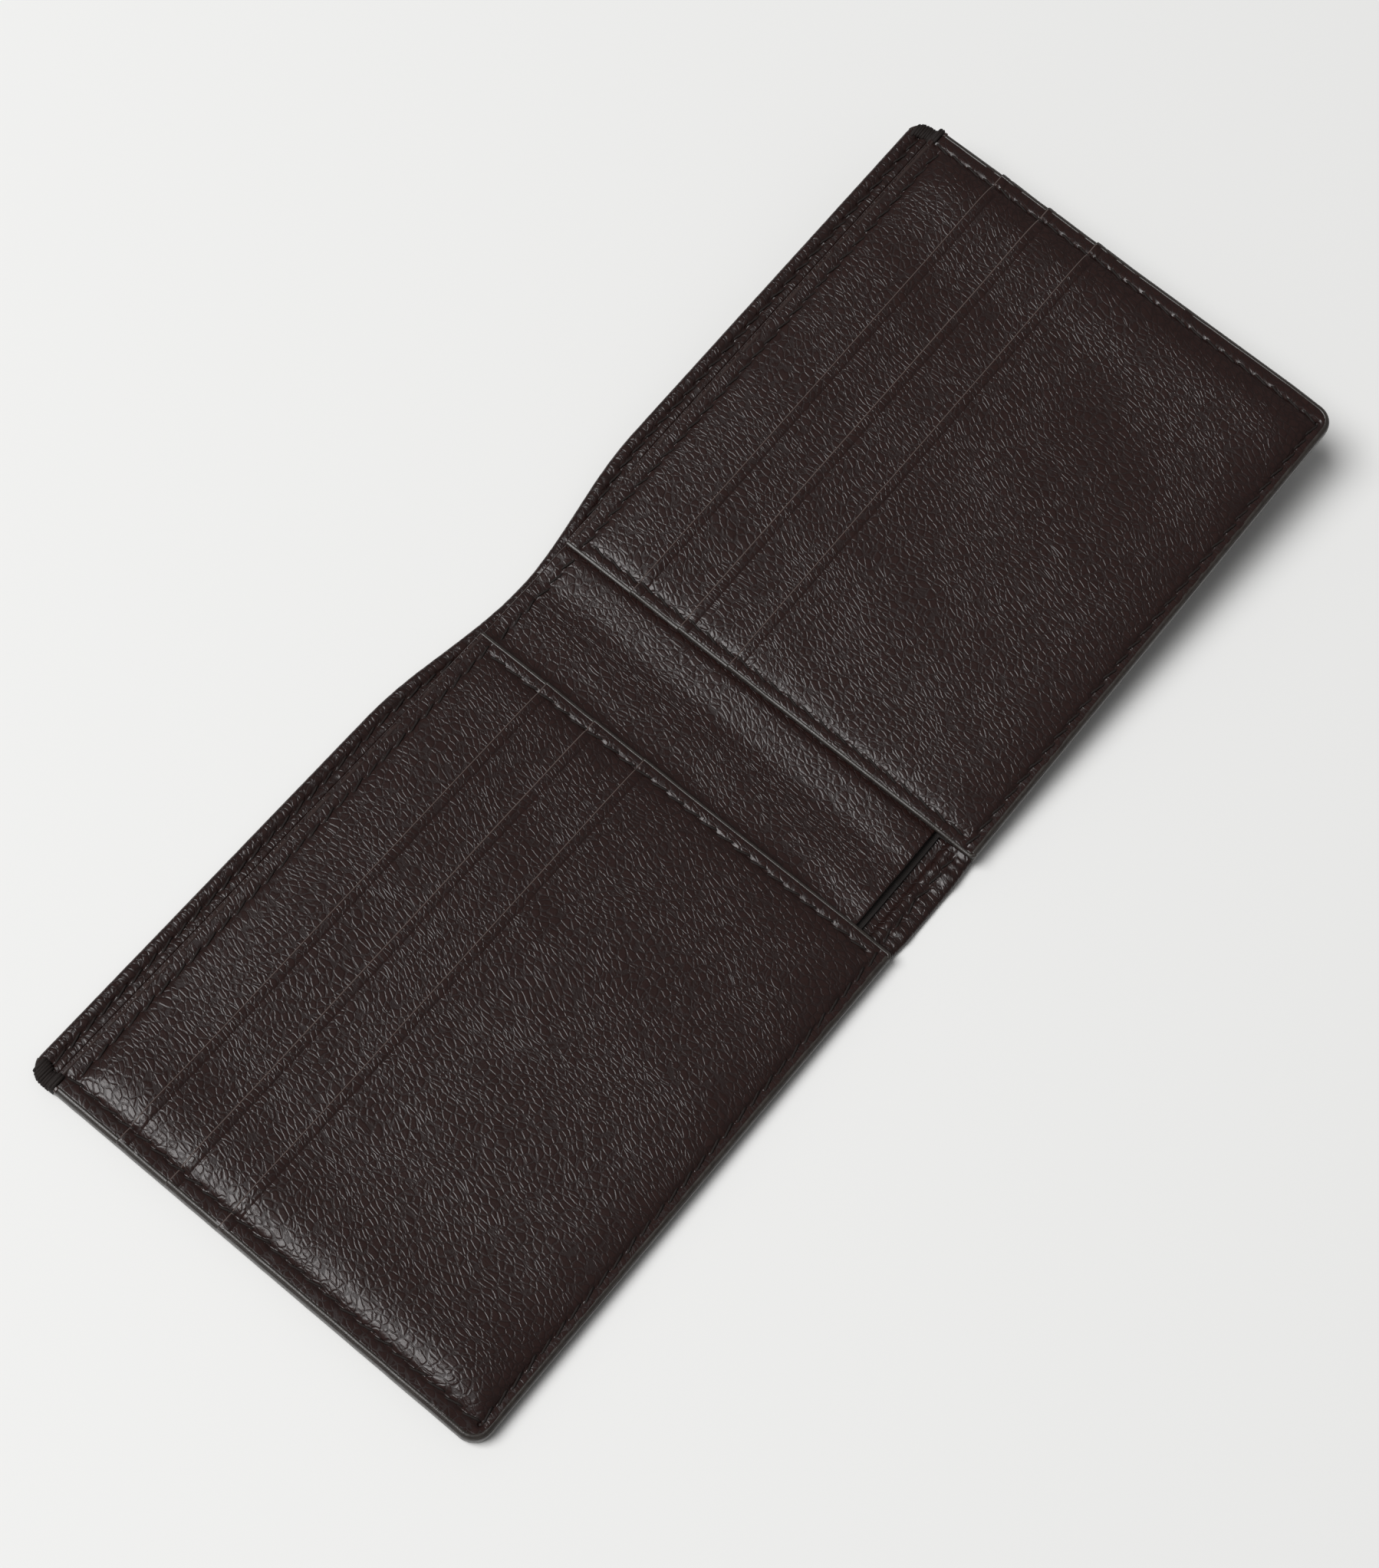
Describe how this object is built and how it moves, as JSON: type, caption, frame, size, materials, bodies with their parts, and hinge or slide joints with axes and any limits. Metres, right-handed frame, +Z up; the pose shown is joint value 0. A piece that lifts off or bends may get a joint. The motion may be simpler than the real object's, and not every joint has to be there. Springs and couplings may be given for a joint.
{
  "type": "bifold wallet",
  "caption": "Bifold leather wallet lying open: stepped card slots and a slip pocket on each half, a full-length banknote compartment behind them, folding at the spine.",
  "frame": {"origin": "on the floor, under the middle of the open wallet's bounding box", "axes": "+X along the open wallet from the left half to the right half, +Y towards the banknote compartment's opening, +Z up out of the card panels"},
  "size_m": [0.2362, 0.095, 0.0161],
  "materials": {
    "outer_leather": "pebbled, semi-matt",
    "inner_leather": "pebbled, semi-matt",
    "lining_fabric": "fine weave, matt",
    "board": "matt",
    "thread": "waxed thread"
  },
  "bodies": {
    "left_half": {"outer_cover_left": "outer_leather", "cover_stiffener_left": "board", "cover_lining_left": "lining_fabric", "divider_lining_left": "lining_fabric", "bill_divider_left": "inner_leather", "card_base_left": "lining_fabric", "top_strip_left": "inner_leather", "pocket_upper_left": "inner_leather", "pocket_middle_left": "inner_leather", "pocket_front_left": "inner_leather", "pocket_lining_upper_left": "lining_fabric", "pocket_lining_middle_left": "lining_fabric", "thread_outer_left": "thread", "thread_inner_left": "thread", "thread_top_left": "thread", "thread_cover_left": "thread", "bar_tack_left": "thread"},
    "spine": {"outer_cover_spine": "outer_leather", "cover_lining_spine": "lining_fabric", "divider_lining_spine": "lining_fabric", "bill_divider_spine": "inner_leather", "thread_top_spine": "thread", "thread_cover_spine": "thread", "thread_bottom_spine": "thread"},
    "right_half": {"outer_cover_right": "outer_leather", "cover_stiffener_right": "board", "cover_lining_right": "lining_fabric", "divider_lining_right": "lining_fabric", "bill_divider_right": "inner_leather", "card_base_right": "lining_fabric", "top_strip_right": "inner_leather", "pocket_upper_right": "inner_leather", "pocket_middle_right": "inner_leather", "pocket_front_right": "inner_leather", "pocket_lining_upper_right": "lining_fabric", "pocket_lining_middle_right": "lining_fabric", "thread_outer_right": "thread", "thread_inner_right": "thread", "thread_top_right": "thread", "thread_cover_right": "thread", "bar_tack_right": "thread"}
  },
  "joints": [
    {"name": "fold_left", "type": "hinge", "parent": "left_half", "child": "spine", "pos_m": [-0.00284, 0, 0.0029], "axis": [0, -1, 0], "range_deg": [0, 90]},
    {"name": "fold_right", "type": "hinge", "parent": "spine", "child": "right_half", "pos_m": [0.00316, 0, 0.0029], "axis": [0, -1, 0], "range_deg": [-6, 84]}
  ]
}
